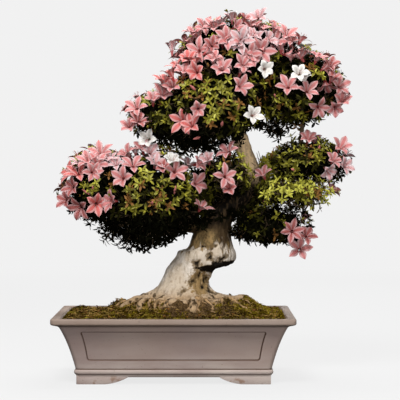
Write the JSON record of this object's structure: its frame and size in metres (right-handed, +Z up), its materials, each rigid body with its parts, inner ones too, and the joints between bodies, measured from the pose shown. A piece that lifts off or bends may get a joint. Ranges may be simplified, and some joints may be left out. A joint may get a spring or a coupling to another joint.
{
  "type": "azalea bonsai in a pot",
  "caption": "Flowering azalea bonsai with a leaning, burled trunk and clipped masses of leaves and pink blossom, rooted in mossy soil in a footed rectangular clay pot.",
  "frame": {"origin": "centre of the bounding box at the standing plane, under the pot's feet", "axes": "+Z up, -Y towards the viewer of the tree's front, +X to that viewer's right"},
  "size_m": [0.6032, 0.3594, 0.7478],
  "materials": {
    "pot_clay": "unglazed matte",
    "mossy_soil": "rough, mossed",
    "bark": "rough bark",
    "foliage": "satin leaf"
  },
  "bodies": {
    "root": {"pot": "pot_clay", "soil": "mossy_soil", "trunk": "bark", "crown_top_bough": "bark", "crown_left_bough": "bark", "crown_right_bough": "bark", "crown_front_bough": "bark", "crown_back_bough": "bark", "left_mass_bough": "bark", "left_tip_mass_bough": "bark", "front_mass_bough": "bark", "back_mass_bough": "bark", "right_mass_bough": "bark", "right_spray_bough": "bark", "right_low_mass_bough": "bark", "crown_top": "foliage", "crown_left": "foliage", "crown_right": "foliage", "crown_front": "foliage", "crown_back": "foliage", "left_mass": "foliage", "left_tip_mass": "foliage", "front_mass": "foliage", "back_mass": "foliage", "right_mass": "foliage", "right_spray": "foliage", "right_low_mass": "foliage"}
  },
  "joints": []
}
